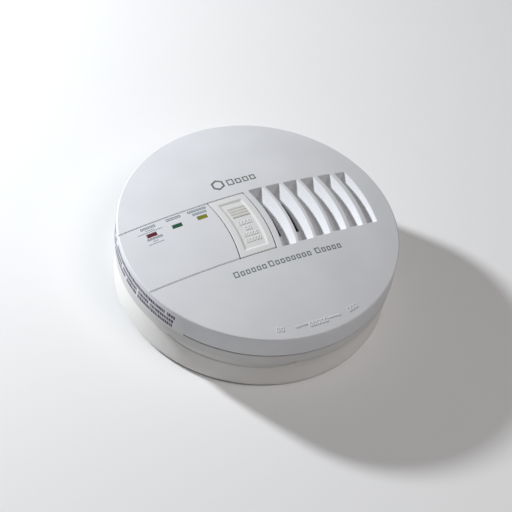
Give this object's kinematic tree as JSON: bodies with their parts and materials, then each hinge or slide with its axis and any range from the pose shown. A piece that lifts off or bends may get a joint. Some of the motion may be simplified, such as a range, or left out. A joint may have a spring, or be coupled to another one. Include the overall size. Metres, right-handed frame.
{
  "type": "carbon monoxide alarm",
  "caption": "Round wall or ceiling gas alarm: domed cover with curved vents, indicator lights and a wide test button, on a twist-off flared trim ring.",
  "frame": {"origin": "centre of the flat back of the trim ring, on the axis of the alarm", "axes": "+Z out of the face, away from the wall; +X along the panel lines from the indicator lights towards the vents; +Y across them"},
  "size_m": [0.146, 0.146, 0.0465],
  "materials": {
    "cover": "fine matt moulded white",
    "housing": "fine matt moulded white",
    "ring": "satin moulded white",
    "button": "matt moulded warm white",
    "label": "printed clear film",
    "red_lens": "translucent red",
    "green_lens": "translucent green",
    "amber_lens": "translucent amber",
    "circuit_board": "solder resist",
    "black_plastic": "matt black",
    "battery_jacket": "printed jacket",
    "yellow_resin": "cast resin box",
    "blue_sleeve": "shrink sleeve",
    "sensor_body": "pale grey moulding",
    "foam": "closed cell foam",
    "screen_mesh": "fine woven mesh",
    "brass": "bright",
    "steel": "zinc plated"
  },
  "bodies": {
    "mount": {"trim_ring": "ring"},
    "alarm": {"backup_capacitor": "blue_sleeve", "battery": "battery_jacket", "battery_contact_negative": "steel", "battery_contact_positive": "steel", "board_screw_1": "steel", "board_screw_2": "steel", "bridge_rectifier": "black_plastic", "button_spring": "steel", "case_screw_1": "steel", "case_screw_2": "steel", "case_screw_3": "steel", "case_screw_4": "steel", "co_sensor": "sensor_body", "dust_screen": "screen_mesh", "film_capacitor": "yellow_resin", "front_cover": "cover", "fuse_resistor": "blue_sleeve", "horn_chamber": "black_plastic", "inlet_insulator": "black_plastic", "inlet_pin_interconnect": "brass", "inlet_pin_line": "brass", "inlet_pin_neutral": "brass", "interconnect_optocoupler": "black_plastic", "led_amber": "amber_lens", "led_green": "green_lens", "led_red": "red_lens", "light_pipe_amber": "amber_lens", "light_pipe_green": "green_lens", "light_pipe_red": "red_lens", "main_board": "circuit_board", "microcontroller": "black_plastic", "piezo_contact_1": "steel", "piezo_contact_2": "steel", "piezo_disc": "brass", "rear_housing": "housing", "sensor_gasket": "foam", "side_label": "label", "smoothing_capacitor": "blue_sleeve", "surge_absorber": "blue_sleeve", "switch_body": "black_plastic"},
    "button": {"test_button": "button"},
    "switch": {"switch_plunger": "black_plastic"},
    "door": {"battery_door": "housing"}
  },
  "joints": [
    {"name": "alarm_twist", "type": "hinge", "parent": "mount", "child": "alarm", "pos_m": [0, 0, 0.0215], "axis": [0, 0, 1], "range_deg": [0, 15]},
    {"name": "button_press", "type": "slide", "parent": "alarm", "child": "button", "axis": [0, 0, -1], "range_m": [0, 0.001], "stiffness_N_per_m": 600, "springref_m": -0.002, "deforming": ["button_spring"]},
    {"name": "switch_press", "type": "slide", "parent": "alarm", "child": "switch", "axis": [0, 0, -1], "range_m": [0, 0.001]},
    {"name": "battery_door_hinge", "type": "hinge", "parent": "alarm", "child": "door", "pos_m": [0.00425, 0.014, 0.0072], "axis": [-1, 0, 0], "range_deg": [0, 90]}
  ],
  "couplings": [
    {"joint": "switch_press", "follows": "button_press", "ratio": 1}
  ]
}
